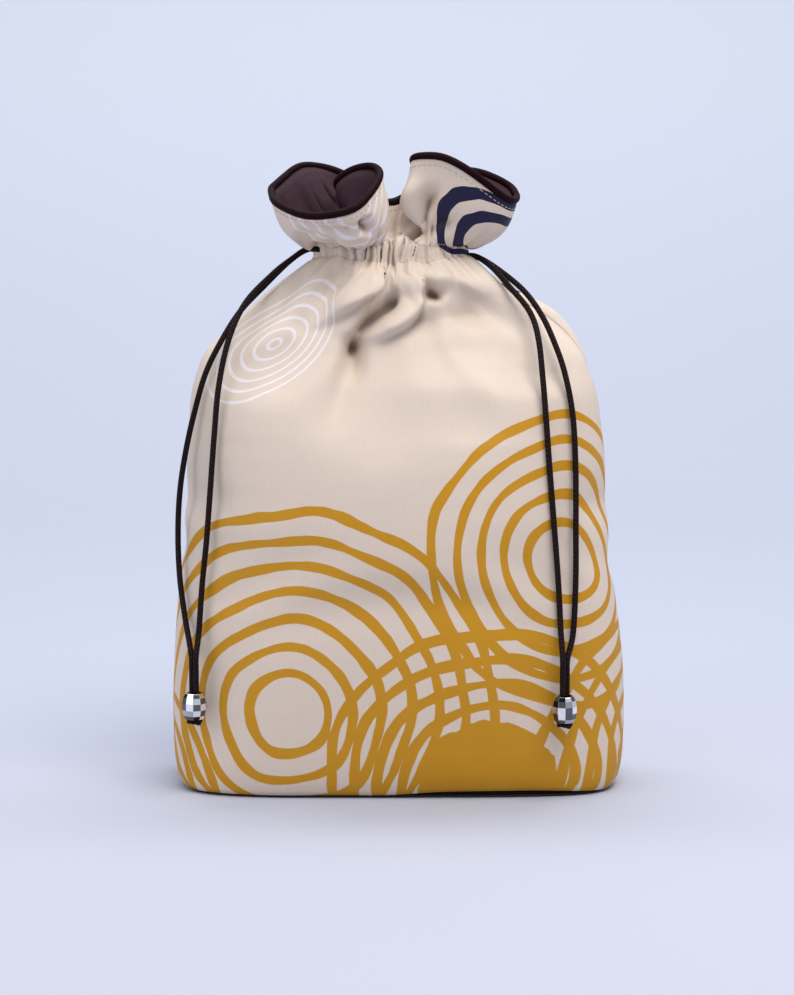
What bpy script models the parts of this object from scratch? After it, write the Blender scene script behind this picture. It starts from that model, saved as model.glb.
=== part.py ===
"""Kinchaku drawstring pouch: a lined cloth bag on a flat base, its neck drawn closed by two cords.

The front faces -Y, the floor is at Z 0, and the origin is on the floor under the middle of the bag.
Dimensions are in millimetres, and are turned into metres where a mesh or a curve is made.
The outer cloth is a front and a back panel, sewn together at the side seams and to a base panel.
The lining repeats the three pieces inside. Two rows of stitches make a casing round the neck, and
both drawstrings run all the way round in it: the left one leaves at the left side seam, the right
one at the right side seam. Both ends of a drawstring go down through one bead and end in a knot.
"""

import math

import bmesh
import bpy
from mathutils import Vector

MM = 0.001

# Cloth
OUTER_CLOTH = 0.9
LINING_CLOTH = 0.6
LAYER_GAP = 0.4
SEAM_GAP = 1.2
PANEL_COLUMNS = 20
OUTLINE_STEPS = 400
CURVE_STEPS = 20

# Sections of the body, from the floor up: height, middle in X, half width, half depth, squareness
BODY_SECTIONS = (
    (0, 0, 102, 40, 4.2),
    (7, 0, 107.5, 43.5, 3.8),
    (27, 0, 110, 46.5, 3.3),
    (65.9, 0, 109, 49, 2.9),
    (114, -1, 105, 49, 2.7),
    (161.2, -1.3, 102.5, 47.5, 2.6),
    (192.6, -2, 99, 44.5, 2.5),
    (214.3, -2.8, 90, 39.5, 2.4),
    (229, -3.3, 76, 33, 2.3),
    (240.8, -3.6, 60, 26, 2.2),
    (247.7, -3.2, 47, 20, 2.1),
)

# Casing: the drawstrings' channel between two rows of stitches round the neck
NECK_X = -3.2
CASING_SECTIONS = (
    (251.6, NECK_X, 38, 18, 2),
    (253.6, NECK_X, 38, 18.5, 2),
    (263.6, NECK_X, 38, 18.5, 2),
    (265.6, NECK_X, 37, 17, 2),
)
CHANNEL_ROWS = (len(BODY_SECTIONS) + 1, len(BODY_SECTIONS) + 2)
CHANNEL_CLEAR = 4.4

# Ruffle: what stands above the casing, up to the piped rim, with a lobe on each side of a deep fold
RUFFLE_ROWS = 5
RUFFLE_FLARE = 1.35
RUFFLE_RISE = 1.3
FRONT_RIM = (
    (-60, -4, 286),
    (-55, -22, 278.9),
    (-41, -34, 273.3),
    (-22, -35, 276.9),
    (-9, -23, 288),
    (0, -15, 295),
    (10, -18, 300),
    (22, -23, 299),
    (34, -24, 293),
    (48, -19, 284),
    (59, -4, 281),
)
BACK_RIM = (
    (59, -4, 281),
    (52, 12, 290),
    (36, 20, 295),
    (16, 19, 294),
    (0, 14, 292),
    (-15, 17, 292),
    (-32, 21, 294),
    (-46, 17, 296),
    (-54, 8, 292),
    (-60, -4, 286),
)

# Piping round the rim
PIPING_RADIUS = 1.8
PIPING_GAP = 0.6

# Base: a flat oval of dark cloth, and the lining over it
BASE_THICKNESS = 1.2
BASE_GAP = 0.4
BASE_POINTS = 48

# Drawstrings: one loop in the casing for each side, lying one above the other
CORD_RADIUS = 1.4
CORD_SIDES_SETTING = 2
CORD_DEPTH = 3.1
LEFT_CORD_HEIGHT = 260.4
RIGHT_CORD_HEIGHT = 256.8
STRAND_POINTS = 24
CASING_POINTS = 30
LEAVING_COLUMNS = 3

# The free strands, from outside the casing down to the bead, without their level shift at the bead
LEFT_FRONT_STRAND = (
    (-44, -2.2, 260),
    (-51, -6.5, 255.4),
    (-60, -10.5, 248.2),
    (-72.5, -17.5, 234.9),
    (-79.9, -25.5, 218.2),
    (-84.3, -31.8, 197.1),
    (-86.5, -34.4, 174),
    (-88.5, -35.8, 148.4),
    (-90.5, -36.4, 123.9),
    (-92.8, -36.6, 102.3),
    (-94.4, -38.5, 80.6),
)
LEFT_BACK_STRAND = (
    (-43.5, 1.2, 260),
    (-52, -0.6, 254.6),
    (-64.5, -9, 242.3),
    (-75, -16.5, 231),
    (-83.5, -22.6, 217.5),
    (-91, -24.6, 202.3),
    (-96.2, -24.9, 185),
    (-100.8, -23.2, 166.1),
    (-104.4, -19.6, 145.5),
    (-105.6, -19.4, 124.8),
    (-104.6, -24, 104.6),
    (-101.8, -30, 86.5),
)
RIGHT_FRONT_STRAND = (
    (37.6, -2.2, 256.6),
    (45, -7.5, 251.6),
    (53.3, -14.8, 242.2),
    (60.4, -19.6, 233.9),
    (64.3, -24.8, 226.3),
    (66.4, -31.4, 215.8),
    (67.8, -36.4, 200.5),
    (69.2, -39.8, 182.8),
    (71, -42, 158.3),
    (73.4, -43.1, 129.8),
    (75.4, -44, 104.2),
    (76.6, -45.2, 82.6),
)
RIGHT_BACK_STRAND = (
    (37.3, 1.2, 256.6),
    (46.5, -0.5, 251.6),
    (59.6, -9.2, 241),
    (68, -19.2, 229.4),
    (74, -27, 216),
    (78.6, -31, 202),
    (82.2, -34, 182.8),
    (83.6, -36.2, 158.3),
    (83.8, -38.6, 129.8),
    (83.8, -40.6, 104.2),
    (82.6, -43.4, 80.6),
)

# Beads and the knots they rest on
LEFT_BEAD = (-96.6, -42.6)
RIGHT_BEAD = (78.4, -49.8)
LEFT_SPREAD = (-1.05, 1.2)
RIGHT_SPREAD = (1.05, 1.2)
BEAD_BOTTOM = 39.0
BEAD_TRAVEL = 10.0
STRAIGHT_ABOVE = 26.0
BEAD_FACETS = 10
BEAD_BORE_RADIUS = 3.3
BORE_SIDES = 24
BORE_LENGTH = 40.0
BEAD_PROFILE = (
    (0, 0),
    (4.2, 0),
    (5.2, 1.7),
    (6, 4.6),
    (6, 8.3),
    (5.2, 11.2),
    (4.2, 12.9),
    (0, 12.9),
)
KNOT_GAP = 0.3
KNOT_PROFILE = (
    (0, -4.4),
    (2, -4.4),
    (2.4, -3.9),
    (2.4, -2.6),
    (3.9, -2.2),
    (4.4, -1.3),
    (4.3, -0.5),
    (3.6, 0),
    (0, 0),
)
KNOT_SEGMENTS = 20
WELD_DISTANCE = 0.1

MATERIALS = {
    "printed_cloth": ((0.72, 0.60, 0.45), 0.55, 0.0),
    "dark_cloth": ((0.035, 0.018, 0.02), 0.5, 0.0),
    "piping": ((0.012, 0.006, 0.006), 0.4, 0.0),
    "cord": ((0.012, 0.006, 0.006), 0.45, 0.0),
    "silver": ((0.85, 0.85, 0.86), 0.15, 1.0),
}


def clear_scene():
    for obj in list(bpy.data.objects):
        bpy.data.objects.remove(obj)


def make_material(name):
    colour, roughness, metallic = MATERIALS[name]
    material = bpy.data.materials.new(name)
    material.use_nodes = True
    shader = material.node_tree.nodes["Principled BSDF"]
    shader.inputs["Base Color"].default_value = (*colour, 1.0)
    shader.inputs["Roughness"].default_value = roughness
    shader.inputs["Metallic"].default_value = metallic
    return material


def evenly_along(line, count):
    """count + 1 points spaced evenly along a polyline, its two ends included."""
    lengths = [0.0]
    for a, b in zip(line, line[1:]):
        lengths.append(lengths[-1] + (b - a).length)
    points, k = [], 0
    for i in range(count + 1):
        along = lengths[-1] * i / count
        while k < len(line) - 2 and lengths[k + 1] < along:
            k += 1
        share = (along - lengths[k]) / (lengths[k + 1] - lengths[k])
        points.append(line[k].lerp(line[k + 1], min(1.0, share)))
    return points


def smooth_through(points, steps):
    """A Catmull-Rom curve through open points, as a polyline with that many steps a span."""
    points = [Vector(p) for p in points]
    ends = [2 * points[0] - points[1], *points, 2 * points[-1] - points[-2]]
    line = []
    for p0, p1, p2, p3 in zip(ends, ends[1:], ends[2:], ends[3:]):
        for i in range(steps):
            t = i / steps
            line.append(
                0.5
                * (
                    2 * p1
                    + (p2 - p0) * t
                    + (2 * p0 - 5 * p1 + 4 * p2 - p3) * t**2
                    + (3 * p1 - p0 - 3 * p2 + p3) * t**3
                )
            )
    return [*line, points[-1]]


def section(height, middle, half_width, half_depth, squareness):
    """A closed level outline from the left side seam round the front, evenly spaced along each panel."""
    power = 2 / squareness

    def at(angle):
        c, s = math.cos(angle), math.sin(angle)
        return Vector(
            (
                middle + half_width * math.copysign(abs(c) ** power, c),
                half_depth * math.copysign(abs(s) ** power, s),
                height,
            )
        )

    turns = [math.pi * i / OUTLINE_STEPS for i in range(OUTLINE_STEPS + 1)]
    front = [at(math.pi + turn) for turn in turns]
    back = [at(turn) for turn in turns]
    return evenly_along(front, PANEL_COLUMNS)[:-1] + evenly_along(back, PANEL_COLUMNS)[:-1]


def rim_outline():
    front = evenly_along(smooth_through(FRONT_RIM, CURVE_STEPS), PANEL_COLUMNS)
    back = evenly_along(smooth_through(BACK_RIM, CURVE_STEPS), PANEL_COLUMNS)
    return front[:-1] + back[:-1]


def cloth_grid():
    """Rows of points over the outer cloth's outside, from the base seam to the rim."""
    rows = [section(*s) for s in BODY_SECTIONS + CASING_SECTIONS]
    neck, rim = rows[-1], rim_outline()
    for k in range(1, RUFFLE_ROWS + 1):
        share = k / RUFFLE_ROWS
        outward = share**RUFFLE_FLARE
        upward = 1 - (1 - share) ** RUFFLE_RISE
        row = []
        for a, b in zip(neck, rim):
            flat = a.lerp(b, outward)
            row.append(Vector((flat.x, flat.y, a.z + (b.z - a.z) * upward)))
        rows.append(row)
    return rows


def outward_normals(rows):
    """The unit normal at each point of the grid, pointing away from the inside."""
    columns, normals = len(rows[0]), []
    for j in range(len(rows)):
        below, above = rows[max(j - 1, 0)], rows[min(j + 1, len(rows) - 1)]
        row = []
        for i in range(columns):
            around = rows[j][(i + 1) % columns] - rows[j][i - 1]
            row.append(around.cross(above[i] - below[i]).normalized())
        normals.append(row)
    return normals


def inset(rows, normals, depths):
    return [
        [p - n * depth for p, n in zip(row, row_normals)]
        for row, row_normals, depth in zip(rows, normals, depths)
    ]


def panel_rows(rows, side):
    """The columns of the front (side 0) or back (side 1) panel, drawn back a little at the side seams."""
    columns = len(rows[0])
    first = side * PANEL_COLUMNS
    picked = []
    for row in rows:
        line = [row[(first + i) % columns].copy() for i in range(PANEL_COLUMNS + 1)]
        line[0] += (line[1] - line[0]).normalized() * SEAM_GAP / 2
        line[-1] += (line[-2] - line[-1]).normalized() * SEAM_GAP / 2
        picked.append(line)
    return picked


def add_object(name, data, material, collection):
    obj = bpy.data.objects.new(name, data)
    obj.data.materials.append(material)
    collection.objects.link(obj)
    return obj


def cloth_panel(name, rows, thickness, material, collection, open_cells=()):
    """A sheet through the rows, thickened inwards. open_cells are left out: (row, column) pairs."""
    mesh = bmesh.new()
    grid = [[mesh.verts.new(p * MM) for p in row] for row in rows]
    for j in range(len(grid) - 1):
        for i in range(len(grid[0]) - 1):
            if (j, i) in open_cells:
                continue
            mesh.faces.new((grid[j][i], grid[j][i + 1], grid[j + 1][i + 1], grid[j + 1][i]))
    data = bpy.data.meshes.new(name)
    mesh.to_mesh(data)
    mesh.free()
    data.shade_smooth()
    obj = add_object(name, data, material, collection)
    solid = obj.modifiers.new("thickness", "SOLIDIFY")
    solid.thickness = thickness * MM
    solid.offset = -1
    return obj


def flat_plate(name, outline, bottom, thickness, material, collection):
    curve = bpy.data.curves.new(name, "CURVE")
    curve.dimensions = "2D"
    curve.fill_mode = "BOTH"
    curve.extrude = thickness / 2 * MM
    spline = curve.splines.new("POLY")
    spline.points.add(len(outline) - 1)
    for point, place in zip(spline.points, outline):
        point.co = (place.x * MM, place.y * MM, 0, 1)
    spline.use_cyclic_u = True
    obj = add_object(name, curve, material, collection)
    obj.location.z = (bottom + thickness / 2) * MM
    return obj


def tube(name, line, radius, material, collection, closed=False):
    curve = bpy.data.curves.new(name, "CURVE")
    curve.dimensions = "3D"
    curve.bevel_depth = radius * MM
    curve.bevel_resolution = CORD_SIDES_SETTING
    curve.use_fill_caps = not closed
    spline = curve.splines.new("POLY")
    spline.points.add(len(line) - 1)
    for point, place in zip(spline.points, line):
        point.co = (*(place * MM), 1)
    spline.use_cyclic_u = closed
    return add_object(name, curve, material, collection)


def turned(name, profile, segments, place, material, collection):
    """A profile of (radius, height) points, turned about the vertical through place."""
    mesh = bmesh.new()
    verts = [mesh.verts.new((r * MM, 0, z * MM)) for r, z in profile]
    for a, b in zip(verts, verts[1:]):
        mesh.edges.new((a, b))
    data = bpy.data.meshes.new(name)
    mesh.to_mesh(data)
    mesh.free()
    obj = add_object(name, data, material, collection)
    obj.location = Vector(place) * MM
    screw = obj.modifiers.new("turn", "SCREW")
    screw.steps = segments
    screw.render_steps = segments
    screw.use_merge_vertices = True
    screw.merge_threshold = WELD_DISTANCE * MM
    screw.use_normal_calculate = True
    return obj


def make_cloth(collection, materials):
    rows = cloth_grid()
    normals = outward_normals(rows)
    lining_depths = [
        OUTER_CLOTH + (CHANNEL_CLEAR if j in CHANNEL_ROWS else LAYER_GAP) for j in range(len(rows))
    ]
    lining = inset(rows, normals, lining_depths)
    exits = {(CHANNEL_ROWS[0], i) for i in (0, 1, PANEL_COLUMNS - 2, PANEL_COLUMNS - 1)}
    for side, word in enumerate(("front", "back")):
        cloth_panel(
            f"outer_{word}_panel",
            panel_rows(rows, side),
            OUTER_CLOTH,
            materials["printed_cloth"],
            collection,
            exits,
        )
        cloth_panel(
            f"lining_{word}_panel",
            panel_rows(lining, side),
            LINING_CLOTH,
            materials["dark_cloth"],
            collection,
        )
    return rows, normals


def make_base(collection, materials):
    """The dark cloth base, flat on the floor inside the panels' lower edge, and its lining."""
    lower_edge = BODY_SECTIONS[0]
    margin = OUTER_CLOTH + LAYER_GAP + LINING_CLOTH + BASE_GAP
    _, middle, half_width, half_depth, squareness = lower_edge
    outline = base_outline(middle, half_width - margin, half_depth - margin, squareness)
    flat_plate(
        "outer_base_panel", outline, 0, BASE_THICKNESS, materials["dark_cloth"], collection
    )
    flat_plate(
        "lining_base_panel",
        outline,
        BASE_THICKNESS + LAYER_GAP,
        LINING_CLOTH,
        materials["dark_cloth"],
        collection,
    )


def base_outline(middle, half_width, half_depth, squareness):
    line = section(0, middle, half_width, half_depth, squareness)
    return evenly_along([*line, line[0]], BASE_POINTS)[:-1]


def make_piping(rows, normals, collection, materials):
    """A cord-filled band of satin along the rim, standing just off the cloth's edge."""
    rim, line = rows[-1], []
    for i, (place, normal) in enumerate(zip(rim, normals[-1])):
        along = rim[(i + 1) % len(rim)] - rim[i - 1]
        middle_of_cloth = place - normal * OUTER_CLOTH
        line.append(middle_of_cloth + normal.cross(along).normalized() * (PIPING_RADIUS + PIPING_GAP))
    tube("rim_piping", line, PIPING_RADIUS, materials["piping"], collection, closed=True)


def casing_line(rows, normals, height, side):
    """The middle of a drawstring in the casing, from one of its two exits round to the same one."""
    low, high = CHANNEL_ROWS
    share = (height - CASING_SECTIONS[1][0]) / (CASING_SECTIONS[2][0] - CASING_SECTIONS[1][0])
    columns = 2 * PANEL_COLUMNS
    start = 0 if side == "left" else PANEL_COLUMNS
    line = []
    for k in range(LEAVING_COLUMNS, columns - LEAVING_COLUMNS + 1):
        i = (start + k) % columns
        place = rows[low][i].lerp(rows[high][i], share)
        inward = normals[low][i].lerp(normals[high][i], share)
        inward.z = 0
        line.append(place - inward.normalized() * CORD_DEPTH)
    return line


def strand_line(route, bead, spread, height_end):
    """A free strand from its exit down to the bead, straight and plumb for the last stretch."""
    foot = Vector((bead[0] + spread[0], bead[1] + spread[1], height_end))
    top = foot + Vector((0, 0, BEAD_PROFILE[-1][1] + STRAIGHT_ABOVE - BEAD_TRAVEL))
    middle = foot.lerp(top, 0.5)
    return [Vector(p) for p in route], [top, middle, foot]


def make_drawstring(side, rows, normals, collection, materials):
    if side == "left":
        height, bead, spread = LEFT_CORD_HEIGHT, LEFT_BEAD, LEFT_SPREAD
        front, back = LEFT_FRONT_STRAND, LEFT_BACK_STRAND
    else:
        height, bead, spread = RIGHT_CORD_HEIGHT, RIGHT_BEAD, RIGHT_SPREAD
        front, back = RIGHT_FRONT_STRAND, RIGHT_BACK_STRAND
    opposite = (-spread[0], -spread[1])
    free_front, plumb_front = strand_line(front, bead, opposite, BEAD_BOTTOM)
    free_back, plumb_back = strand_line(back, bead, spread, BEAD_BOTTOM)
    casing = casing_line(rows, normals, height, side)
    if side == "right":
        casing.reverse()
    whole_front = smooth_through([casing[0], *free_front, *plumb_front], CURVE_STEPS)
    whole_back = smooth_through([casing[-1], *free_back, *plumb_back], CURVE_STEPS)
    line = [
        *reversed(evenly_along(whole_front, STRAND_POINTS)),
        *evenly_along(casing, CASING_POINTS)[1:-1],
        *evenly_along(whole_back, STRAND_POINTS),
    ]
    tube(f"drawstring_{side}", line, CORD_RADIUS, materials["cord"], collection)


def make_bead(side, place, collection, cutters, materials):
    bead = turned(
        f"bead_{side}",
        BEAD_PROFILE,
        BEAD_FACETS,
        (*place, BEAD_BOTTOM),
        materials["silver"],
        collection,
    )
    bpy.ops.mesh.primitive_cylinder_add(
        vertices=BORE_SIDES,
        radius=BEAD_BORE_RADIUS * MM,
        depth=BORE_LENGTH * MM,
        location=Vector((*place, BEAD_BOTTOM)) * MM,
    )
    bore = bpy.context.object
    bore.name = f"bead_{side}_bore"
    bore.hide_render = True
    bore.display_type = "WIRE"
    for collection_in in list(bore.users_collection):
        collection_in.objects.unlink(bore)
    cutters.objects.link(bore)
    cut = bead.modifiers.new("bore", "BOOLEAN")
    cut.operation = "DIFFERENCE"
    cut.solver = "EXACT"
    cut.object = bore


def main():
    clear_scene()
    pouch = bpy.data.collections.new("kinchaku_pouch")
    cutters = bpy.data.collections.new("cutters")
    bpy.context.scene.collection.children.link(pouch)
    bpy.context.scene.collection.children.link(cutters)
    materials = {name: make_material(name) for name in MATERIALS}
    rows, normals = make_cloth(pouch, materials)
    make_base(pouch, materials)
    make_piping(rows, normals, pouch, materials)
    for side, place in (("left", LEFT_BEAD), ("right", RIGHT_BEAD)):
        make_drawstring(side, rows, normals, pouch, materials)
        make_bead(side, place, pouch, cutters, materials)
        turned(
            f"knot_{side}",
            KNOT_PROFILE,
            KNOT_SEGMENTS,
            (*place, BEAD_BOTTOM - KNOT_GAP),
            materials["cord"],
            pouch,
        )


main()
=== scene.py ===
import math

import bmesh
import bpy
import numpy as np
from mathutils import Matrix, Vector
from mathutils.bvhtree import BVHTree


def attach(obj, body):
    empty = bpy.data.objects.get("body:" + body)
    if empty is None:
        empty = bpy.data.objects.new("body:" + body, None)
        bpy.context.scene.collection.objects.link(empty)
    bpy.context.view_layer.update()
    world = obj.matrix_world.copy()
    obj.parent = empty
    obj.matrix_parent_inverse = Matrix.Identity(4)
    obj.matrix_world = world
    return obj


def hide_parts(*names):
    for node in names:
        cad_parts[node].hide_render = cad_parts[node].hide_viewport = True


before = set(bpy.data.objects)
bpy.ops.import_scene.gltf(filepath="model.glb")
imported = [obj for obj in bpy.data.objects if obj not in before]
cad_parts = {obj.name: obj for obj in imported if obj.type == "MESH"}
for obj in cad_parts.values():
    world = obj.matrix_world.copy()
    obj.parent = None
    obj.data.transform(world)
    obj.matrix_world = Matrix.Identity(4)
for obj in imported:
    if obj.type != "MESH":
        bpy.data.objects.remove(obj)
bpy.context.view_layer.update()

body = "pouch"


# ---- Table and light -------------------------------------------------------------------------
# The pouch stands on a pale, faintly blue sweep of paper. A wide soft lamp hangs over its left
# front, the studio's own white walls fill the rest, and the camera is at the pouch's middle height.


class Socket:
    """A shader socket that sums like a number: 1 - mask adds its Math node."""

    def __init__(self, maker, socket):
        self.maker, self.socket = maker, socket

    def _math(self, operation, *values):
        return self.maker.node("ShaderNodeMath", {"operation": operation}, dict(enumerate(values)))

    def __add__(self, other):
        return self._math("ADD", self, other)

    def __radd__(self, other):
        return self._math("ADD", other, self)

    def __sub__(self, other):
        return self._math("SUBTRACT", self, other)

    def __rsub__(self, other):
        return self._math("SUBTRACT", other, self)

    def __mul__(self, other):
        return self._math("MULTIPLY", self, other)

    def __rmul__(self, other):
        return self._math("MULTIPLY", other, self)

    def __truediv__(self, other):
        return self._math("DIVIDE", self, other)

    def __rtruediv__(self, other):
        return self._math("DIVIDE", other, self)

    def __lt__(self, other):
        return self._math("LESS_THAN", self, other)

    def __gt__(self, other):
        return self._math("GREATER_THAN", self, other)

    def __pow__(self, other):
        return self._math("POWER", self, other)

    def __abs__(self):
        return self._math("ABSOLUTE", self)


class Finish:
    """A material and the one way nodes are added to it."""

    def __init__(self, name, **constants):
        self.material = bpy.data.materials.new(name)
        self.material.use_nodes = True
        self.nodes, self.links = self.material.node_tree.nodes, self.material.node_tree.links
        self.shader = self.nodes["Principled BSDF"]
        for socket, value in constants.items():
            self.shader.inputs[socket.replace("_", " ")].default_value = value

    def node(self, kind, settings=None, inputs=None, output=0):
        node = self.nodes.new(kind)
        for key, value in (settings or {}).items():
            if key == "stops":
                ramp = node.color_ramp
                while len(ramp.elements) < len(value):
                    ramp.elements.new(0.5)
                for element, (place, colour) in zip(ramp.elements, value):
                    element.position, element.color = place, (*colour, 1)
            else:
                setattr(node, key, value)
        for key, value in (inputs or {}).items():
            self.put(node.inputs[key], value)
        return Socket(self, node.outputs[output])

    def put(self, socket, value):
        if isinstance(value, Socket):
            self.links.new(value.socket, socket)
        elif isinstance(value, tuple) and len(value) == 3 and socket.type == "RGBA":
            socket.default_value = (*value, 1)
        else:
            socket.default_value = value

    def mix(self, share, a, b, blend="MIX"):
        settings = {"data_type": "RGBA", "blend_type": blend}
        return self.node("ShaderNodeMix", settings, {0: share, 6: a, 7: b}, 2)

    def step(self, value, low, high):
        """0 below low, 1 above high, and smooth between."""
        settings = {"interpolation_type": "SMOOTHSTEP"}
        return self.node("ShaderNodeMapRange", settings, {0: value, 1: low, 2: high, 3: 0.0, 4: 1.0})

    def noise(self, place, scale, detail=2.0, rough=0.5, stretch=None):
        if stretch:
            settings = {"operation": "MULTIPLY"}
            place = self.node("ShaderNodeVectorMath", settings, {0: place, 1: stretch})
        inputs = {"Vector": place, "Scale": scale, "Detail": detail, "Roughness": rough}
        return self.node("ShaderNodeTexNoise", {}, inputs)

    def bump(self, height, distance, strength=1.0, under=None):
        inputs = {"Height": height, "Distance": distance, "Strength": strength}
        if under:
            inputs["Normal"] = under
        return self.node("ShaderNodeBump", {}, inputs)

    def feed(self, **values):
        for socket, value in values.items():
            self.put(self.shader.inputs[socket.replace("_", " ")], value)
        return self.material


def mesh_piece(name, verts, faces, smooth=True):
    data = bpy.data.meshes.new(name)
    data.from_pydata([tuple(v) for v in verts], [], faces)
    data.update()
    if smooth:
        data.shade_smooth()
    piece = bpy.data.objects.new(name, data)
    bpy.context.scene.collection.objects.link(piece)
    return piece


paper = Finish("paper", Roughness=0.85)
paper_colour = paper.noise(paper.node("ShaderNodeTexCoord", output=3), 3.0)
paper_place = paper.node("ShaderNodeTexCoord", output=3)
paper_rise = Socket(paper, paper.node("ShaderNodeSeparateXYZ", {}, {0: paper_place}).socket.node.outputs[2])
# Painted light: the sweep's colour is lighter up the wall than on the floor
paper.feed(Base_Color=paper.mix(paper.step(paper_rise, 0.02, 0.5), paper.mix(paper_colour, (0.43, 0.448, 0.53), (0.445, 0.463, 0.545)),
                                (0.482, 0.507, 0.57)))
sweep_line = [(y, 0.0) for y in np.linspace(-2.0, 0.9, 8)]
sweep_line += [(0.9 + 0.9 * math.sin(a), 0.9 - 0.9 * math.cos(a)) for a in np.linspace(0.15, 1.57, 14)]
sweep_line += [(1.8, 1.6), (1.8, 3.0)]
sweep_verts = [(x, y, z) for y, z in sweep_line for x in (-3.0, 3.0)]
sweep_faces = [(2 * i, 2 * i + 1, 2 * i + 3, 2 * i + 2) for i in range(len(sweep_line) - 1)]
sweep = mesh_piece("paper_sweep", sweep_verts, sweep_faces)
sweep.data.materials.append(paper.material)

world = bpy.data.worlds.new("studio")
bpy.context.scene.world = world
world.use_nodes = True
world.node_tree.nodes["Background"].inputs["Color"].default_value = (0.86, 0.9, 1.0, 1)
world.node_tree.nodes["Background"].inputs["Strength"].default_value = 0.65
bpy.context.scene.view_settings.view_transform = "Standard"


def lamp(name, place, aim, size, power, colour=(1, 1, 1)):
    data = bpy.data.lights.new(name, "AREA")
    data.shape = "RECTANGLE"
    data.size, data.size_y = size
    data.energy, data.color = power, colour
    light = bpy.data.objects.new(name, data)
    light.location = place
    light.rotation_euler = (Vector(aim) - Vector(place)).to_track_quat("-Z", "Y").to_euler()
    bpy.context.scene.collection.objects.link(light)


lamp("key", (0.35, -0.55, 1.25), (0, 0, 0.15), (0.8, 0.6), 12.5, (1, 0.965, 0.92))
lamp("fill", (-1.1, -0.7, 0.7), (0, 0, 0.15), (0.8, 1.0), 4, (0.97, 0.98, 1))
lamp("wall", (0, 0.6, 2.2), (0, 1.6, 0.6), (3.0, 0.6), 45, (0.95, 0.97, 1))

camera_data = bpy.data.cameras.new("camera")
camera_data.lens = 81.6
camera_data.sensor_width = 36
camera = bpy.data.objects.new("camera", camera_data)
camera_tilt = math.radians(7)
camera_distance = 1.1
camera_aim = Vector((-0.0005, 0, 0.1397))
camera.location = camera_aim + camera_distance * Vector((0, -math.cos(camera_tilt), math.sin(camera_tilt)))
camera.rotation_euler = (math.radians(90) - camera_tilt, 0, 0)
bpy.context.scene.collection.objects.link(camera)
bpy.context.scene.camera = camera


# ---- Drawstrings -----------------------------------------------------------------------------
# Each drawstring is one round braided cord of brown-black rayon. A few plum glints are painted
# into its colour, and its colour is darker in the plait's valleys as painted shade. Its two
# free strands leave the casing at a side seam, fall over the shoulder and meet in a bead.

cord_diameter = 0.0028
bead_height = 0.0129
bead_bottom = 0.039
bead_travel = 0.010
beads = {
    "left": {"place": (-0.0966, -0.0426), "spread": (-0.00105, 0.0012)},
    "right": {"place": (0.0784, -0.0498), "spread": (0.00105, 0.0012)},
}
strand_routes = {
    ("left", "front"): (
        (-44, -2.2, 260), (-51, -6.5, 255.4), (-60, -10.5, 248.2), (-72.5, -17.5, 234.9),
        (-79.9, -25.5, 218.2), (-84.3, -31.8, 197.1), (-86.5, -34.4, 174), (-88.5, -35.8, 148.4),
        (-90.5, -36.4, 123.9), (-92.8, -36.6, 102.3), (-94.4, -38.5, 80.6),
    ),
    ("left", "back"): (
        (-43.5, 1.2, 260), (-52, -0.6, 254.6), (-64.5, -9, 242.3), (-75, -16.5, 231),
        (-83.5, -22.6, 217.5), (-91, -24.6, 202.3), (-96.2, -24.9, 185), (-100.8, -23.2, 166.1),
        (-104.4, -19.6, 145.5), (-105.6, -19.4, 124.8), (-104.6, -24, 104.6), (-101.8, -30, 86.5),
    ),
    ("right", "front"): (
        (37.6, -2.2, 256.6), (45, -7.5, 251.6), (53.3, -14.8, 242.2), (60.4, -19.6, 233.9),
        (64.3, -24.8, 226.3), (66.4, -31.4, 215.8), (67.8, -36.4, 200.5), (69.2, -39.8, 182.8),
        (71, -42, 158.3), (73.4, -43.1, 129.8), (75.4, -44, 104.2), (76.6, -45.2, 82.6),
    ),
    ("right", "back"): (
        (37.3, 1.2, 256.6), (46.5, -0.5, 251.6), (59.6, -9.2, 241), (68, -19.2, 229.4),
        (74, -27, 216), (78.6, -31, 202), (82.2, -34, 182.8), (83.6, -36.2, 158.3),
        (83.8, -38.6, 129.8), (83.8, -40.6, 104.2), (82.6, -43.4, 80.6),
    ),
}


def spline_through(points, steps, closed=False):
    """A Catmull-Rom curve through the points, as an array of points."""
    p = np.array(points, float)
    if closed:
        p = np.vstack([p[-1], p, p[0], p[1]])
    else:
        p = np.vstack([2 * p[0] - p[1], p, 2 * p[-1] - p[-2]])
    t = (np.arange(steps) / steps)[:, None]
    runs = []
    for a, b, c, d in zip(p, p[1:], p[2:], p[3:]):
        runs.append(0.5 * (2 * b + (c - a) * t + (2 * a - 5 * b + 4 * c - d) * t**2
                           + (3 * b - a - 3 * c + d) * t**3))
    if not closed:
        runs.append(p[-2][None])
    return np.vstack(runs)


def along(line):
    return np.concatenate([[0], np.cumsum(np.linalg.norm(np.diff(line, axis=0), axis=1))])


def resample(line, count):
    run = along(line)
    at = np.linspace(0, run[-1], count)
    return np.stack([np.interp(at, run, line[:, k]) for k in range(line.shape[1])], 1)


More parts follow.
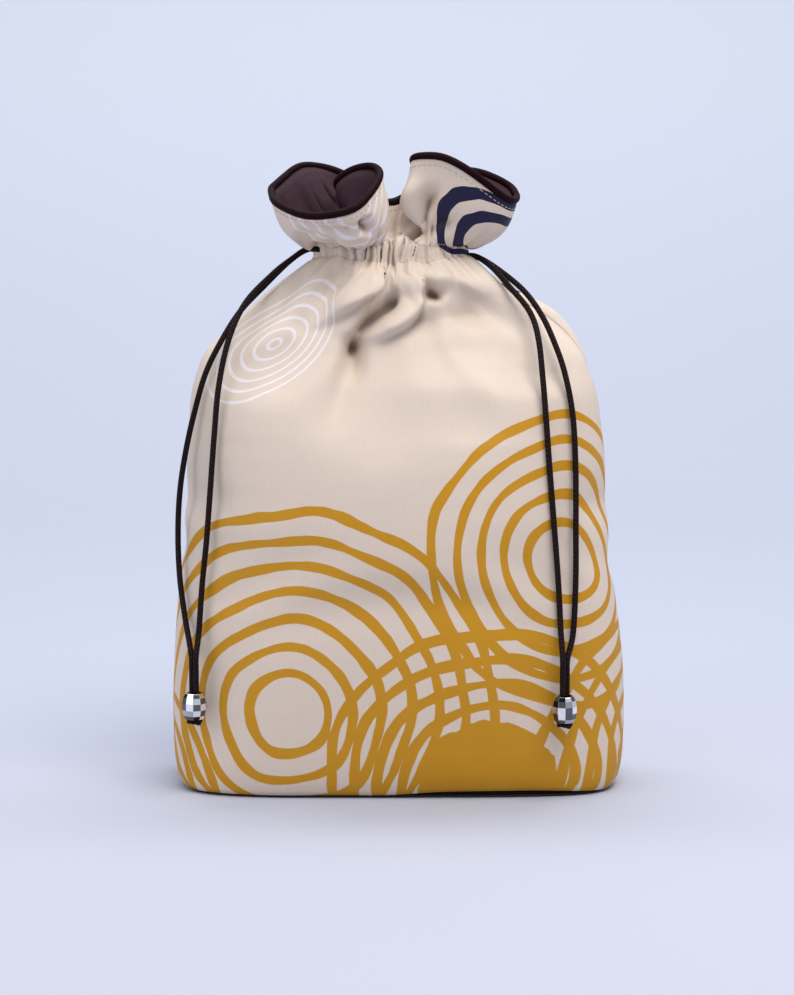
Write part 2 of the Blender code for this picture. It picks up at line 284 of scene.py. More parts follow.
def tube_piece(name, line, radius, sides, closed=False):
    """A round tube with a pattern map: metres along it, and its turn from 0 to 1."""
    count = len(line)
    ahead = np.roll(line, -1, 0) - np.roll(line, 1, 0)
    if not closed:
        ahead[0], ahead[-1] = line[1] - line[0], line[-1] - line[-2]
    ahead /= np.linalg.norm(ahead, axis=1)[:, None]
    side = np.cross(ahead[0], (0.1, 0.9, 0.3))
    sides_at = []
    for direction in ahead:
        side = side - direction * side.dot(direction)
        side /= np.linalg.norm(side)
        sides_at.append(side)
    sides_at = np.array(sides_at)
    ups = np.cross(ahead, sides_at)
    turn = 2 * math.pi * np.arange(sides) / sides
    thick = np.broadcast_to(np.asarray(radius, float), (count,))[:, None, None]
    rings = (line[:, None] + thick * (np.cos(turn)[None, :, None] * sides_at[:, None]
                                      + np.sin(turn)[None, :, None] * ups[:, None]))
    faces = []
    for i in range(count if closed else count - 1):
        j = (i + 1) % count
        for k in range(sides):
            m = (k + 1) % sides
            faces.append((i * sides + k, i * sides + m, j * sides + m, j * sides + k))
    if not closed:
        faces += [tuple(reversed(range(sides))), tuple(range((count - 1) * sides, count * sides))]
    piece = mesh_piece(name, rings.reshape(-1, 3), faces)
    run = along(np.vstack([line, line[:1]]))
    uv = piece.data.uv_layers.new(name="pattern")
    for face in piece.data.polygons:
        if len(face.vertices) != 4:
            continue
        for loop, vert in zip(face.loop_indices, face.vertices):
            i, k = divmod(vert, sides)
            first = face.vertices[0]
            i_at = i if i or first < sides * (count - 1) or not closed else count
            k_at = k if k or first % sides != sides - 1 else sides
            uv.data[loop].uv = (run[i_at] * 100, k_at / sides)
    return piece


cord_finish = Finish("cord", Roughness=0.5, Specular_IOR_Level=0.12)
cord_uv = cord_finish.node("ShaderNodeUVMap", {"uv_map": "pattern"})
cord_run = cord_finish.node("ShaderNodeSeparateXYZ", {}, {0: cord_uv})
cord_turn = Socket(cord_finish, cord_run.socket.node.outputs[1])


def plaits(finish, run, turn, per_cm, round_count):
    """The height of a round plait: two families of yarns that cross."""
    one = finish.node("ShaderNodeMath", {"operation": "SINE"},
                      {0: (run * per_cm + turn * round_count) * 2 * math.pi})
    two = finish.node("ShaderNodeMath", {"operation": "SINE"},
                      {0: (run * per_cm - turn * round_count) * 2 * math.pi})
    return finish.node("ShaderNodeMath", {"operation": "MAXIMUM"}, {0: one, 1: two})


cord_height = plaits(cord_finish, cord_run, cord_turn, 4.5, 4)
# Painted glints: plum patches in the cord's colour that stand in for highlights
painted_glints = cord_finish.step(cord_finish.noise(cord_uv, 9.0, 3.0, 0.6, (1, 6, 1)), 0.5, 0.68)
rayon_with_painted_glints = cord_finish.mix(painted_glints, (0.007, 0.002, 0.0026), (0.045, 0.009, 0.013))
# Painted shade: the cord's colour is darker in the valleys between the plait's yarns
cord_finish.feed(
    Base_Color=cord_finish.mix(cord_finish.step(cord_height, -0.2, 0.9), (0.004, 0.002, 0.002), rayon_with_painted_glints),
    Normal=cord_finish.bump(cord_height, 0.00025, 0.8),
)

strand_pieces = {}
for (side, face_word), route in strand_routes.items():
    place, spread = beads[side]["place"], beads[side]["spread"]
    sign = -1 if face_word == "front" else 1
    foot = np.array([place[0] + sign * spread[0], place[1] + sign * spread[1], bead_bottom])
    top = foot + (0, 0, bead_height + 0.016)
    inner = (route[0][0] + (6.5 if side == "left" else -6.5), route[0][1] + 3.2 * sign, route[0][2] + 0.2)
    line = np.vstack([np.array((inner, *route)) / 1000, top, (foot + top) / 2, foot])
    line = resample(spline_through(line, 24), 260)
    # Plumb as far up as the bead can slide
    bends = np.clip((line[:, 2] - bead_bottom - bead_height - bead_travel - 0.002) / 0.006, 0, 1)
    bends = (bends * bends * (3 - 2 * bends))[:, None]
    line[:, :2] = foot[:2] + (line[:, :2] - foot[:2]) * bends
    name = f"strand_{side}_{face_word}"
    strand = tube_piece(name, line, cord_diameter / 2, 14)
    strand.data.materials.append(cord_finish.material)
    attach(strand, body)
    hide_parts(f"drawstring_{side}")
    strand_pieces[side, face_word] = (strand, line)


# ---- Shape of the cloth ----------------------------------------------------------------------
# The bag is cut as two panels about 270 mm wide, sewn into a tube. About three widths of cloth are drawn
# into one at the neck, so it stands in fine puckers at the casing that open into a few soft folds.

panel_columns = 220
column_count = 2 * panel_columns
body_sections = (
    (1.5, 0, 104.5, 41.2, 4.4),
    (6, 0, 107.6, 43.2, 3.9),
    (14, 0, 109.3, 45, 3.6),
    (27, 0, 110, 46.5, 3.3),
    (46, 0, 110, 48, 3.05),
    (65.9, 0, 109, 49, 2.9),
    (89.5, -0.5, 107, 49, 2.8),
    (114, -1, 105, 49, 2.7),
    (137.6, -1.2, 103.5, 48.6, 2.65),
    (161.2, -1.3, 102.5, 47.5, 2.6),
    (177.9, -1.6, 101, 46.2, 2.55),
    (192.6, -2, 99, 44.5, 2.5),
    (203.5, -2.4, 95.5, 42.3, 2.45),
    (214.3, -2.8, 90, 39, 2.4),
    (229, -3.3, 75, 32, 2.3),
    (240.8, -3.6, 58, 24.5, 2.2),
    (247.7, -3.2, 45, 18.5, 2.1),
    (252.6, -3.2, 37.5, 15.5, 2),
    (258.6, -3.2, 37, 15.5, 2),
    (264.6, -3.2, 37, 15, 2),
)
front_rim = (
    (-61.5, -4, 287), (-57, -22, 280), (-41.5, -36, 274.5), (-21.5, -38, 277), (-12, -31, 285.5),
    (-7.5, -19, 294.5), (-12.5, -9, 298), (-22, -5, 296), (-28.5, -1, 290), (-21, 4, 283.5),
    (-9, 6.5, 281), (1, 7.5, 282), (6.5, 3, 288), (7.5, -5, 297), (6.2, -14, 301.5), (12, -20, 302.5),
    (21, -25, 301.5), (31, -27, 296.5), (41, -25, 289.5), (48, -20, 284.5), (54.5, -12, 281.5), (57.5, -3, 283),
)
back_rim = (
    (57.5, -3, 283), (54.5, 5, 288), (46, 11, 293), (37, 17, 296), (26, 20, 296.5), (16, 19, 293),
    (7, 14.5, 286), (-3, 12, 281), (-12, 13, 283), (-20, 17, 291), (-29, 20, 296), (-38, 20, 298.5),
    (-47, 16, 298.5), (-55, 8, 293), (-61.5, -4, 287),
)
ruffle_cloth = 39.0


def body_ring(height, middle, half_width, half_depth, squareness, crowd=0.0):
    """One level ring of the cloth. With crowd above 0 the cloth is denser at the panels' middles."""
    angle = np.linspace(0, math.pi, 800)
    power = 2 / squareness
    across = np.sign(np.cos(angle)) * np.abs(np.cos(angle)) ** power
    deep = np.sin(angle) ** power
    level = np.full_like(angle, height)
    front = np.stack([middle - half_width * across, -half_depth * deep, level], 1)
    back = np.stack([middle + half_width * across, half_depth * deep, level], 1)
    share = np.linspace(0, 1, panel_columns + 1)
    share = share + crowd * np.sin(2 * math.pi * share) / (2 * math.pi)
    halves = []
    for half in (front, back):
        run = along(half)
        halves.append(np.stack([np.interp(share * run[-1], run, half[:, k]) for k in range(3)], 1)[:-1])
    return np.vstack(halves)


def rim_ring():
    halves = [resample(spline_through(half, 30), panel_columns + 1)[:-1] for half in (front_rim, back_rim)]
    return np.vstack(halves)


def wrap_blur(values, width):
    """A soft average round the bag."""
    reach = int(3 * width)
    weights = np.exp(-0.5 * (np.arange(-reach, reach + 1) / width) ** 2)
    weights /= weights.sum()
    return sum(w * np.roll(values, k, 0) for k, w in zip(range(-reach, reach + 1), weights))


def soft_noise(seed, count, width):
    """Smooth closed noise round the bag, about -1 to 1."""
    values = np.random.default_rng(seed).normal(size=count)
    values = wrap_blur(values, width)
    return values / (values.std() * 1.6)


crowding = lambda height: 0.45 * float(np.clip((height - 195) / 55, 0, 1))
key_rings = [body_ring(*section, crowding(section[0])) for section in body_sections]
neck_ring, rim = key_rings[-1], rim_ring()
chord = np.linalg.norm(rim - neck_ring, axis=1)
outward = rim - neck_ring
level_out = outward * (1, 1, 0)
level_out /= np.linalg.norm(level_out, axis=1)[:, None] + 1e-9
spare = np.clip(ruffle_cloth - chord, 0, 14)
sag = np.sqrt(0.375 * chord * spare) * np.where(spare > 0, 1, 0)
sag = wrap_blur(sag, 6)
sag_way = level_out * 0.75 + np.array([0, 0, -0.65])
ruffle_steps = 7
for k in range(1, ruffle_steps + 1):
    share = k / ruffle_steps
    spread = share**1.15
    rise = 1 - (1 - share) ** 1.1
    ring = neck_ring + outward * np.array([spread, spread, rise])
    ring = ring + (sag * math.sin(math.pi * share) * 0.8)[:, None] * sag_way
    key_rings.append(ring)
key_rings = np.array(key_rings)

# Rows of cloth through the key rings, closer together at the casing and in the ruffle
row_gap = [2.8] * 11 + [1.4] * (len(body_sections) - 12) + [1.3] * ruffle_steps
padded = np.concatenate([[2 * key_rings[0] - key_rings[1]], key_rings, [2 * key_rings[-1] - key_rings[-2]]])
cloth_rows = []
for k, gap in enumerate(row_gap):
    a, b, c, d = padded[k:k + 4]
    steps = max(1, round(float(np.linalg.norm(c - b, axis=1).mean()) / gap))
    for s in range(steps):
        t = s / steps
        cloth_rows.append(0.5 * (2 * b + (c - a) * t + (2 * a - 5 * b + 4 * c - d) * t**2
                                 + (3 * b - a - 3 * c + d) * t**3))
cloth_rows.append(key_rings[-1])
cloth = np.array(cloth_rows)
row_count = len(cloth)
row_run = np.concatenate([[0], np.cumsum(np.linalg.norm(np.diff(cloth, axis=0), axis=2).mean(1))])
neck_row = int(np.argmin(np.abs(cloth[:, 0, 2] - 258.6) + (row_run > 330) * 99))
from_neck = row_run - row_run[neck_row]
rim_row = row_count - 1
ruffle_rows = np.arange(row_count) > neck_row + 6
ruffle_stretch = (ruffle_cloth + 6 - from_neck[neck_row + 6]) / (from_neck[-1] - from_neck[neck_row + 6])
cloth_cut = np.where(ruffle_rows, row_run[neck_row + 6] + (row_run - row_run[neck_row + 6]) * ruffle_stretch, row_run)
column_run = np.concatenate([np.zeros((1, column_count)),
                             np.cumsum(np.linalg.norm(np.diff(cloth, axis=0), axis=2), axis=0)])
column_cut = np.maximum(column_run, 0.5 * (column_run + row_run[:, None]))
column_cut[ruffle_rows] = (column_cut[neck_row + 6]
                           + (cloth_cut[ruffle_rows] - cloth_cut[neck_row + 6])[:, None])
perimeter = np.linalg.norm(np.roll(cloth, -1, 1) - cloth, axis=2).sum(1)
panel_width = float(perimeter[row_run < 200].max()) / 2 * 1.004


def outward_normals(grid):
    around = np.roll(grid, -1, 1) - np.roll(grid, 1, 1)
    upward = np.gradient(grid, axis=0)
    normal = np.cross(around, upward)
    return normal / (np.linalg.norm(normal, axis=2)[..., None] + 1e-12)


smooth_cloth = cloth.copy()
normals = outward_normals(cloth)
column = np.arange(column_count)


def pleats(count, seed, uneven):
    """Round ridges with narrow valleys, count to a panel, unevenly spaced."""
    drift = soft_noise(seed, column_count, 5) * uneven
    phase = math.pi * (column / panel_columns * count + drift)
    size = 0.75 + 0.35 * soft_noise(seed + 1, column_count, 4)
    return (np.abs(np.sin(phase)) ** 0.6 - 0.6) * size


def hill(values, middle, below, above):
    width = np.where(values < middle, below, above)
    return np.exp(-(((values - middle) / width) ** 2))


ridge_fine, ridge_middling = pleats(17, 11, 0.5), pleats(9, 23, 0.55)
broad = pleats(5, 37, 0.4)
lean = soft_noise(95, column_count, 5) * 0.45 + soft_noise(96, column_count, 16) * 0.4


def leaning(ridges):
    """The same ridges on every row, each leaning its own way as it leaves the casing."""
    shifted = column + lean * np.clip(from_neck, -30, 20)[:, None]
    return np.interp(shifted, column, ridges, period=column_count)


centre_share = 0.75 + 0.25 * np.sin(math.pi * (column % panel_columns) / panel_columns) ** 2
fine, middling = leaning(ridge_fine), leaning(ridge_middling)
gather = (hill(from_neck, 0, 12, 13)[:, None] * 5.0 * fine
          + hill(from_neck, -9, 9, 9)[:, None] * 2.8 * middling
          + hill(from_neck, 9, 9, 18)[:, None] * 4.2 * middling
          + hill(from_neck, 20, 12, 14)[:, None] * 1.5 * broad
          + hill(from_neck, -22, 14, 12)[:, None] * 1.2 * broad) * centre_share
cloth = cloth + normals * gather[..., None]
wander = soft_noise(91, column_count, 4) * 0.9 + soft_noise(92, column_count, 14) * 0.9
cloth[..., 2] += hill(from_neck, 0, 16, 16)[:, None] * wander


def taper(t, ends):
    rise = np.clip(t / ends[0], 0, 1) if ends[0] else np.ones_like(t)
    fall = np.clip((1 - t) / ends[1], 0, 1) if ends[1] else np.ones_like(t)
    return (rise * rise * (3 - 2 * rise)) * (fall * fall * (3 - 2 * fall))


def fold(grid, line, height, soft, sharp, lean=0.0, ends=(0.25, 0.5), front=True, ruffle=False):
    """A fold along a line of (x, z) on one face: steep on its right-hand side, soft on its left."""
    line = resample(spline_through(line, 16), 60)
    x, z = grid[..., 0], grid[..., 2]
    flat = np.stack([x, z], 2)
    best = np.full(x.shape, 1e9)
    side, share = np.zeros(x.shape), np.zeros(x.shape)
    way = np.zeros(flat.shape)
    for k in range(len(line) - 1):
        a, run = line[k], line[k + 1] - line[k]
        t = np.clip(((flat - a) @ run) / run.dot(run), 0, 1)
        gap = flat - (a + t[..., None] * run)
        distance = np.hypot(gap[..., 0], gap[..., 1])
        nearer = distance < best
        right = np.array([run[1], -run[0]]) / np.hypot(*run)
        best = np.where(nearer, distance, best)
        side = np.where(nearer, np.sign(gap @ right), side)
        share = np.where(nearer, (k + t) / (len(line) - 1), share)
        way = np.where(nearer[..., None], right, way)
    width = np.where(side > 0, sharp, soft)
    here = np.exp(-((best / width) ** 2)) * taper(share, ends)
    on_face = normals[..., 1] < 0.15 if front else normals[..., 1] > -0.15
    from_casing = (np.arange(row_count)[:, None] - neck_row) * (1 if ruffle else -1)
    on_face = on_face & (from_casing > (4 if ruffle else -4))
    if ruffle:
        here = here * np.clip((row_run[-1] - row_run) / 8, 0.15, 1)[:, None]
    here = here * np.where(on_face, 1, 0)
    moved = grid + normals * (height * here)[..., None]
    moved[..., 0] += way[..., 0] * lean * here
    moved[..., 2] += way[..., 1] * lean * here
    return moved


# Slack: faint long waves over the body, a dip along the side seams, and a front edge that lifts
# a little off the floor towards the right
slack = np.zeros((row_count, column_count))
for k, seed in enumerate((5, 6, 7, 8)):
    wave = soft_noise(seed, column_count, 9 + 3 * k)
    slack += hill(row_run, 40 + 55 * k, 45, 45)[:, None] * wave * 0.5
seam_gap = np.minimum(column % panel_columns, panel_columns - column % panel_columns) * panel_width / panel_columns
slack -= (np.exp(-((seam_gap / 1.3) ** 2)) * 0.55)[None] * np.ones((row_count, 1))
cloth = cloth + normals * slack[..., None]
lift = 2.2 * np.exp(-(((smooth_cloth[..., 0] - 48) / 42) ** 4)) * np.exp(-((row_run / 9) ** 2))[:, None]
cloth[..., 2] += np.where(smooth_cloth[..., 1] < -20, lift, 0)
cloth[..., 2] = np.maximum(cloth[..., 2], 0.6)


# The bag's cloth is let go: held at the base seam, in the casing and along the rim, it hangs from
# there under its weight, pushed out a little by what fills it, and buckles as its width asks.
step = 2
held = cloth[::step, ::step]
rows, columns = held.shape[:2]
sim_scale = 100
verts = held.reshape(-1, 3) / sim_scale
faces = [(j * columns + i, j * columns + (i + 1) % columns,
          (j + 1) * columns + (i + 1) % columns, (j + 1) * columns + i)
         for j in range(rows - 1) for i in range(columns)]
sim = mesh_piece("cloth_in_the_air", verts, faces)
sim.shape_key_add(name="as_held")
flat_key = sim.shape_key_add(name="as_cut")
turn = 2 * math.pi * np.arange(columns) / columns
shoulder = np.clip((row_run[::step] - 205) / 30, 0, 1)
cut_width = perimeter[::step] * 1.012 * (1 - shoulder) + 2 * panel_width * shoulder
reach = (cut_width / (2 * math.pi))[:, None]
cut_height = column_cut[::step, ::step]
tube = np.stack(np.broadcast_arrays(-reach * np.cos(turn), -reach * np.sin(turn),
                                    cut_height), 2) / sim_scale
flat_key.data.foreach_set("co", tube.reshape(-1).astype(np.float32))
distance = from_neck[::step]
hold = np.where(np.abs(distance) < 7.5, 1.0, 0.0)
hold = np.where(distance > 7.5, 0.02, hold)
hold = np.where(distance < -7.5, np.interp(distance, (-260, -170, -90, -45), (0.6, 0.15, 0.03, 0.003)), hold)
hold[0], hold[-1] = 1.0, 1.0
push = np.where(distance < -8, np.clip((-distance - 8) / 30, 0, 1), 0.0)
for group_name, weights in (("hold", hold), ("push", push)):
    group = sim.vertex_groups.new(name=group_name)
    for j, weight in enumerate(weights):
        group.add(range(j * columns, (j + 1) * columns), float(weight), "REPLACE")
modifier = sim.modifiers.new("cloth", "CLOTH")
settings = modifier.settings
settings.quality = 6
settings.mass = 0.25
settings.tension_stiffness = settings.compression_stiffness = 25
settings.shear_stiffness = 8
settings.bending_model = "ANGULAR"
settings.bending_stiffness = 4
settings.tension_damping = settings.compression_damping = 8
settings.shear_damping = 8
settings.bending_damping = 1
settings.air_damping = 3
settings.vertex_group_mass = "hold"
settings.pin_stiffness = 1
settings.use_pressure = True
settings.uniform_pressure_force = 0.35
settings.vertex_group_pressure = "push"
settings.rest_shape_key = flat_key
settings.effector_weights.gravity = 0.3
modifier.collision_settings.use_collision = False
modifier.collision_settings.use_self_collision = False
frames = 36
modifier.point_cache.frame_start, modifier.point_cache.frame_end = 1, frames
for number in range(1, frames + 1):
    bpy.context.scene.frame_set(number)
settled = sim.evaluated_get(bpy.context.evaluated_depsgraph_get()).to_mesh()
after = np.empty(len(settled.vertices) * 3)
settled.vertices.foreach_get("co", after)
bpy.context.scene.frame_set(1)
bpy.data.objects.remove(sim)
change = after.reshape(rows, columns, 3) * sim_scale - held
size = np.linalg.norm(change, axis=2)[..., None]
change *= np.minimum(1, 12 / (size + 1e-9))
calm = np.clip((-distance - 30) / 25, 0, 0.75)[:, None, None]
change = change * (1 - calm) + np.array([wrap_blur(row, 7) for row in change]) * calm
# From every second row and column back to all of them
wide = np.zeros((rows, column_count, 3))
wide[:, ::2] = change
wide[:, 1::2] = (9 * (change + np.roll(change, -1, 1)) - np.roll(change, 1, 1) - np.roll(change, -2, 1)) / 16
at = np.arange(row_count) / step
low = np.clip(at.astype(int), 0, rows - 2)
share = np.clip(at - low, 0, 1)[:, None, None]
cloth = cloth + wide[low] * (1 - share) + wide[low + 1] * share
cloth[..., 2] = np.maximum(cloth[..., 2], 0.6)

# Puffed body and drooping ruffle crowd the casing from below and above, most at the sides
crowded = 0.5 - 0.2 * np.sin(math.pi * (column % panel_columns) / panel_columns) ** 2
away = np.abs(from_neck)
reach_out = np.where(from_neck > 0, 26, 40)
settle = np.minimum(away, 8) * np.clip(1 - (away - 8) / reach_out, 0, 1) ** 1.5 * np.sign(from_neck)
cloth[..., 2] -= settle[:, None] * crowded
normals = outward_normals(np.array([wrap_blur(row, 4) for row in cloth]))

# Front, from the neck: a thick roll that sweeps down to the left, a hook beside it, the hollow
# under them, a pocket and a broad fold to the right, the full belly, and a slack line down the left
cloth = fold(cloth, ((24, 214), (25, 198), (25, 176)), 3.5, 36, 34, ends=(0.6, 0.6))
cloth = fold(cloth, ((-20, 222), (-23, 207), (-27, 190), (-33, 168)), -5.0, 7, 6, ends=(0.1, 0.8))
cloth = fold(cloth, ((-19, 222), (-20, 206), (-22, 194)), -6.0, 4, 5, ends=(0.2, 0.6))
cloth = fold(cloth, ((-47, 224), (-35, 227), (-21, 236), (-10, 245), (-7, 254)), 10, 10, 2.4, 3.6, (0.6, 0.22))
cloth = fold(cloth, ((-24, 206), (-21, 218), (-13, 228), (-4, 236), (0, 243)), -9.0, 2.5, 3.2, 0.0, (0.3, 0.2))
cloth = fold(cloth, ((-18, 218), (-7, 221), (3, 227), (9, 236), (8, 246), (6, 252)), 8.5, 6, 2.6, 2.0, (0.35, 0.2))
cloth = fold(cloth, ((11, 242), (17, 240), (26, 239)), -8.0, 2.6, 3.2, ends=(0.25, 0.7))
cloth = fold(cloth, ((10, 248), (24, 246), (40, 241), (54, 230)), 5.0, 5, 4, 1.0, (0.2, 0.6))
cloth = fold(cloth, ((-2, 219), (10, 226), (28, 231), (46, 228), (58, 214)), -3.6, 5, 6, ends=(0.3, 0.4))
cloth = fold(cloth, ((-70, 217), (-78, 192), (-82, 168)), -2, 8, 8, ends=(0.3, 0.7))
cloth = fold(cloth, ((-20, 253), (-27, 246), (-36, 240), (-50, 234)), -3.2, 3, 5, ends=(0.2, 0.6))
cloth = fold(cloth, ((-44, 222), (-58, 219), (-70, 208)), 2.0, 6, 6, ends=(0.3, 0.6))
# The back of the right shoulder is puffed up by what fills the bag
across, deep, high = np.moveaxis(cloth, 2, 0)
behind = np.clip((deep + 5) / 10, 0, 1)
puff = np.exp(-(((across - 76) / 22) ** 2) - ((high - 226) / 17) ** 2) * behind * behind * (3 - 2 * behind)
cloth = cloth + normals * (8 * puff)[..., None]
# Back: three soft folds from the neck
cloth = fold(cloth, ((-50, 214.3), (-30, 230), (-12, 248.7)), 7, 5, 10, 2, (0.5, 0.2), front=False)
cloth = fold(cloth, ((44, 207.4), (28, 228), (10, 249.6)), 7, 9, 5, 2, (0.5, 0.2), front=False)
cloth = fold(cloth, ((0, 231.9), (4, 207.4), (2, 173)), -5.0, 9, 11, ends=(0.2, 0.8), front=False)
# Ruffle: two slack folds across the left lobe with a hollow at their end, and a deep one up the
# right lobe beside its rolled left edge
cloth = fold(cloth, ((-48, 273), (-37, 270), (-26, 268.5), (-18, 271)), -4.0, 2.6, 3.8, ends=(0.3, 0.2), ruffle=True)
cloth = fold(cloth, ((-16, 275), (-14.5, 271), (-14, 266)), -7.5, 2.4, 2.8, ends=(0.2, 0.2), ruffle=True)
cloth = fold(cloth, ((-50, 268), (-38, 264.5), (-26, 261)), -4.0, 2.6, 3.4, ends=(0.3, 0.2), ruffle=True)
cloth = fold(cloth, ((-42, 262), (-32, 259.5), (-22, 260)), -3.4, 2.4, 2.8, ends=(0.3, 0.3), ruffle=True)
cloth = fold(cloth, ((19, 292), (15, 284), (11, 274), (8, 263)), -8.0, 3.0, 5.5, ends=(0.45, 0.1), ruffle=True)
cloth = fold(cloth, ((9, 296), (6, 284), (3, 272), (2, 262)), 4.5, 4, 3, ends=(0.3, 0.1), ruffle=True)
cloth = fold(cloth, ((32, 276), (22, 271), (8, 266)), -3.5, 3, 4, ends=(0.5, 0.2), ruffle=True)
def soft_copy(grid, width):
    """The cloth with everything narrower than the width, in rows and columns, smoothed away."""
    grid = np.array([wrap_blur(row, width) for row in grid])
    reach = int(3 * width)
    weights = np.exp(-0.5 * (np.arange(-reach, reach + 1) / width) ** 2)
    padded = np.pad(grid, ((reach, reach), (0, 0), (0, 0)), mode="edge")
    return sum(w * padded[k:k + len(grid)] for k, w in enumerate(weights / weights.sum()))


# Short creases that fan out of the casing, up into the ruffle and down over the shoulders
creases = (hill(from_neck, 9, 4, 10)[:, None] * 1.9 * leaning(pleats(13, 51, 0.6))
           + hill(from_neck, -9, 12, 4)[:, None] * 1.7 * leaning(pleats(11, 57, 0.6))
           + hill(from_neck, 18, 8, 9)[:, None] * 0.9 * leaning(pleats(6, 63, 0.6)))
cloth = cloth + normals * creases[..., None]
cloth[3:-3] = soft_copy(cloth, 0.7)[3:-3]
cloth_normals = outward_normals(cloth)


# Painted shade in the folds: how deep each spot lies under the cloth round it, near and wide,
# which darkens the sateen's colour
shade = np.zeros((row_count, column_count))
for width, shade_depth in ((1.8, 1.05), (4.0, 3.8)):
    round_about = soft_copy(cloth, width)
    under = ((round_about - cloth) * outward_normals(round_about)).sum(2)
    shade = np.maximum(shade, np.clip(under / shade_depth - 0.1, 0, 0.85))
shade *= np.clip((from_neck + 95) / 40, 0, 1)[:, None]
shade = soft_copy(shade[..., None], 0.6)[..., 0]


# ---- Outer panels ----------------------------------------------------------------------------
# Cotton sateen the colour of wheat, screen printed with mustard ripples, a few white ones higher
# up and a little navy on the ruffle. Each panel is one piece of cloth 0.9 mm thick with its backing.

sateen = Finish("printed_sateen", Roughness=0.5, Specular_IOR_Level=0.28)
sateen_map = sateen.node("ShaderNodeUVMap", {"uv_map": "pattern"})


def ripples(finish, place, middle, gap, line, inner, outer, seed, loose=0.14):
    """Rings drawn by hand round a middle, in centimetres of flat cloth: 1 on the ink."""
    wander = finish.node("ShaderNodeTexNoise", {"noise_dimensions": "4D"},
                         {"Vector": place, "W": float(seed), "Scale": 0.22, "Detail": 0.0}, 1)
    centred = finish.node("ShaderNodeVectorMath", {"operation": "SUBTRACT"}, {0: wander, 1: (0.5, 0.5, 0.5)})
    moved = finish.node("ShaderNodeVectorMath", {"operation": "MULTIPLY_ADD"},
                        {0: centred, 1: (loose * 8, loose * 8, 0), 2: place})
    reach = finish.node("ShaderNodeVectorMath", {"operation": "DISTANCE"}, {0: moved, 1: (*middle, 0)}, 1)
    swell = finish.noise(place, 0.6, 1.0)
    turn = finish.node("ShaderNodeMath", {"operation": "FRACT"}, {0: reach / gap})
    ring = abs(turn - 0.5) * gap - swell * line * 0.5
    ink = 1 - finish.step(ring, line * 0.22, line * 0.22 + 0.035)
    return ink * finish.step(reach, inner, inner + 0.05) * (1 - finish.step(reach, outer, outer + 0.05))


def disc(finish, place, middle, size):
    reach = finish.node("ShaderNodeVectorMath", {"operation": "DISTANCE"}, {0: place, 1: (*middle, 0)}, 1)
    return 1 - finish.step(reach + finish.noise(place, 1.2, 2.0) * 0.6, size, size + 0.06)


def either(finish, marks):
    total = marks[0]
    for mark in marks[1:]:
        total = finish.node("ShaderNodeMath", {"operation": "MAXIMUM"}, {0: total, 1: mark})
    return total


mustard_rings = (
    ((-5.2, 4.2), 1.3, 0.46, 1.3, 10.4, 1),
    ((8.6, 11.4), 1.25, 0.44, 1.25, 7.5, 2),
    ((4.4, 0.4), 1.2, 0.5, 3.6, 8.4, 3),
    ((-13.6, 0.2), 1.3, 0.44, 1.3, 5.2, 4),
    ((13.6, 1.2), 1.25, 0.46, 2.5, 7.5, 5),
)
mustard = either(sateen, [ripples(sateen, sateen_map, *ring) for ring in mustard_rings]
                 + [disc(sateen, sateen_map, (4.4, 0.4), 3.7), disc(sateen, sateen_map, (13.6, 1.2), 2.6)])
white_rings = (
    ((-8.8, 22.4), 0.62, 0.13, 0.0, 3.72, 11),
    ((-7.0, 32.0), 0.7, 0.2, 0.7, 4.2, 12),
)
white = either(sateen, [ripples(sateen, sateen_map, *ring, 0.1) for ring in white_rings])
squat = sateen.node("ShaderNodeVectorMath", {"operation": "MULTIPLY"}, {0: sateen_map, 1: (1, 1.9, 1)})
navy = ripples(sateen, squat, (12.5, 56.3), 1.55, 0.85, 1.5, 4.5, 21, 0.05)

thread_up = sateen.noise(sateen_map, 1.0, 3.0, 0.6, (26, 1.6, 1))
thread_across = sateen.noise(sateen_map, 1.0, 2.0, 0.5, (2.5, 34, 1))
cloud = sateen.noise(sateen_map, 0.35, 3.0)
wheat = sateen.mix(thread_up, (0.60, 0.495, 0.408), (0.70, 0.59, 0.50))
wheat = sateen.mix(sateen.step(thread_across, 0.35, 0.75) * 0.25, wheat, (0.59, 0.48, 0.37))
ink_wear = sateen.step(sateen.noise(sateen_map, 7.0, 4.0, 0.65), 0.72, 0.86) * 0.5
mustard_ink = sateen.mix(cloud, (0.475, 0.218, 0.005), (0.535, 0.258, 0.009))
colour = sateen.mix(mustard * (1 - ink_wear), wheat, mustard_ink)
colour = sateen.mix(white * 0.8, colour, (0.75, 0.71, 0.74))
colour = sateen.mix(navy * (1 - ink_wear * 0.4), colour, (0.006, 0.005, 0.035))
# Painted shade: the sateen's colour darkens towards dark brown where the cloth lies deep in a fold
painted_fold_shade = Socket(sateen, sateen.node("ShaderNodeAttribute", {"attribute_name": "shade"}).socket.node.outputs["Fac"])
colour = sateen.mix(painted_fold_shade, colour, sateen.mix(painted_fold_shade, colour, (0.085, 0.045, 0.026)))
weave = thread_up * 0.6 + thread_across * 0.4
sateen.feed(
    Base_Color=colour,
    Roughness=0.44 + sateen.noise(sateen_map, 3.0, 3.0) * 0.16,
    Normal=sateen.bump(weave, 0.0002, 0.35),
)


